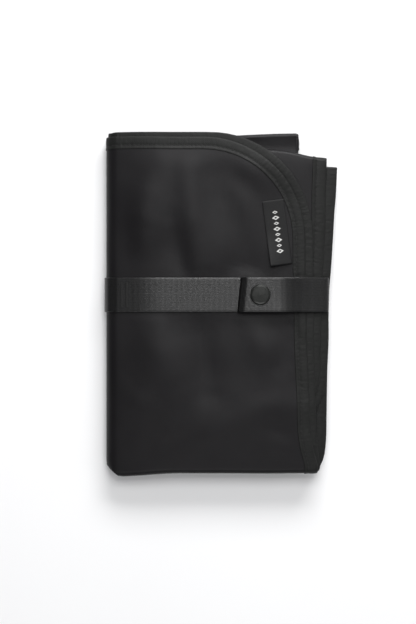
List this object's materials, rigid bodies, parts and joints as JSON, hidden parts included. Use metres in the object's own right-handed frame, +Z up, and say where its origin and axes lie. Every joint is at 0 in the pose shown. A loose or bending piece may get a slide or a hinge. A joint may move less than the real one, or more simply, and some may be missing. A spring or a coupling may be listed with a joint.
{
  "type": "folded changing mat",
  "caption": "Padded cloth changing mat with bound edges, folded into a flat bundle and held shut by a webbing strap with a press stud and a hanging label.",
  "frame": {"origin": "bottom centre of the whole bundle's box, on the surface that it lies on", "axes": "+Z up out of the front of the bundle, +Y along its long side towards the rounded corner's end, +X towards its open layered edges"},
  "size_m": [0.172, 0.2516, 0.0282],
  "materials": {
    "shell_nylon": "satin",
    "wadding": "matte",
    "lining": "satin",
    "binding": "matte",
    "webbing": "satin",
    "thread": "satin",
    "snap_metal": "satin",
    "spring_steel": "satin",
    "label_weave": "matte"
  },
  "bodies": {
    "mat": {"outer_shell": "shell_nylon", "wadding": "wadding", "inner_lining": "lining", "edge_binding": "binding", "strap_fixed_run": "webbing", "anchor_bar_tack": "thread"},
    "strap_side": {"strap_side_run": "webbing"},
    "strap_tail": {"strap_tail_webbing": "webbing", "snap_cap": "snap_metal", "snap_socket": "snap_metal", "snap_spring": "spring_steel"},
    "stud_strap": {"stud_strap_webbing": "webbing", "snap_post": "snap_metal", "snap_stud": "snap_metal"},
    "label": {"woven_label": "label_weave"}
  },
  "joints": [
    {"name": "tail_peel", "type": "hinge", "parent": "strap_side", "child": "strap_tail", "pos_m": [0.07895, 0.00585, 0.015], "axis": [0, 1, 0], "range_deg": [0, 80]},
    {"name": "side_fold", "type": "hinge", "parent": "mat", "child": "strap_side", "pos_m": [0.07895, 0.00585, 0.0015], "axis": [0, 1, 0], "range_deg": [0, 80]},
    {"name": "stud_strap_lift", "type": "hinge", "parent": "mat", "child": "stud_strap", "pos_m": [-0.069, 0.00585, 0.01985], "axis": [0, -1, 0], "range_deg": [0, 24]},
    {"name": "label_flip", "type": "hinge", "parent": "mat", "child": "label", "pos_m": [0.04939, 0.05153, 0.01955], "axis": [-0.1305, 0.9914, 0], "range_deg": [0, 150]}
  ],
  "couplings": [
    {"joint": "side_fold", "follows": "tail_peel", "ratio": 1},
    {"joint": "stud_strap_lift", "follows": "tail_peel", "ratio": 0.3}
  ]
}
